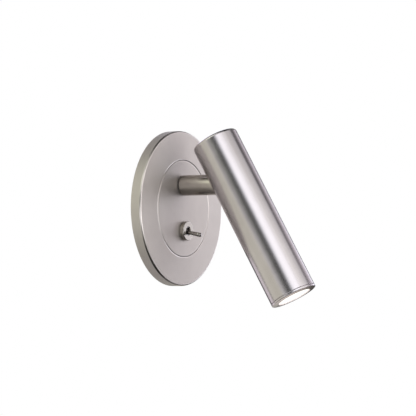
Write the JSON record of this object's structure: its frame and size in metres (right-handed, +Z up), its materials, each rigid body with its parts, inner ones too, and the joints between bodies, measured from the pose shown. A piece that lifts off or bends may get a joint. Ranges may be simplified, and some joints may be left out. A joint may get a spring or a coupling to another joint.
{
  "type": "bedside wall reading lamp",
  "caption": "Wall-mounted reading lamp with a round plate, a toggle switch, a short swivelling arm and a tilting tubular spot head.",
  "frame": {"origin": "centre of the wall plate's back face, on the wall plane", "axes": "+Y into the wall, -Y out into the room along the arm, +Z up, +X to the right seen from the room"},
  "size_m": [0.11, 0.1273, 0.1251],
  "materials": {
    "satin_nickel": "satin nickel plate",
    "bright_chrome": "polished chrome plate",
    "zinc_steel": "zinc plated",
    "knuckle_nickel": "dark satin",
    "machined_aluminium": "machined",
    "black_nylon": "moulded",
    "magnet_plating": "nickel plated magnet",
    "black_rubber": "soft moulded",
    "circuit_board": "solder resist",
    "component_black": "moulded",
    "terminal_plastic": "moulded",
    "brass_contact": "tinned brass",
    "lead_insulation": "silicone sleeve",
    "phosphor": "phosphor coat",
    "opal_lens": "lit opal diffuser"
  },
  "bodies": {
    "wall_plate": {"trim_ring": "satin_nickel", "fascia_disc": "satin_nickel", "wall_bracket": "zinc_steel", "bracket_nuts": "zinc_steel", "fascia_screws": "zinc_steel", "magnet_holders": "black_nylon", "magnets": "magnet_plating", "rear_box": "zinc_steel", "box_rivets": "zinc_steel", "cable_grommet": "black_rubber", "driver_board": "circuit_board", "driver_parts": "component_black", "board_standoffs": "black_nylon", "board_screws": "zinc_steel", "terminal_block": "terminal_plastic", "terminal_screws": "zinc_steel", "earth_screw": "zinc_steel", "earth_tag": "brass_contact", "switch_collar": "satin_nickel", "switch_bushing": "bright_chrome", "switch_nut": "zinc_steel", "switch_washer": "zinc_steel", "switch_body": "black_nylon", "switch_terminals": "brass_contact", "swivel_bush": "black_nylon", "base_washer": "black_nylon", "thrust_washer": "black_nylon", "stop_pin": "zinc_steel", "switch_leads": "lead_insulation"},
    "lever": {"switch_lever": "bright_chrome"},
    "arm": {"stop_washer": "zinc_steel", "wave_washer": "zinc_steel", "swivel_nuts": "zinc_steel", "swivel_stem": "zinc_steel", "arm_tube": "satin_nickel", "arm_plug": "machined_aluminium", "knuckle": "knuckle_nickel", "pivot_pin": "zinc_steel", "disc_springs": "zinc_steel", "arm_leads": "lead_insulation"},
    "head": {"friction_washers": "black_nylon", "pivot_bushes": "black_nylon", "head_tube": "satin_nickel", "yoke": "machined_aluminium", "yoke_keeper": "machined_aluminium", "spacer_sleeve": "machined_aluminium", "heat_sink": "machined_aluminium", "led_board": "machined_aluminium", "led_chip": "phosphor", "led_holder": "black_nylon", "engine_screws": "zinc_steel", "reflector": "bright_chrome", "lens": "opal_lens", "bezel_ring": "satin_nickel", "head_leads": "lead_insulation"}
  },
  "joints": [
    {"name": "arm_swivel", "type": "hinge", "parent": "wall_plate", "child": "arm", "pos_m": [0, -0.0095, 0.0163], "axis": [0, -1, 0], "range_deg": [-160, 160]},
    {"name": "head_tilt", "type": "hinge", "parent": "arm", "child": "head", "pos_m": [0, -0.0534, 0.0163], "axis": [1, 0, 0], "range_deg": [-21.8, 28.2]},
    {"name": "switch_throw", "type": "hinge", "parent": "wall_plate", "child": "lever", "pos_m": [0, -0.0073, -0.016], "axis": [-1, 0, 0], "range_deg": [0, 22.6]}
  ]
}
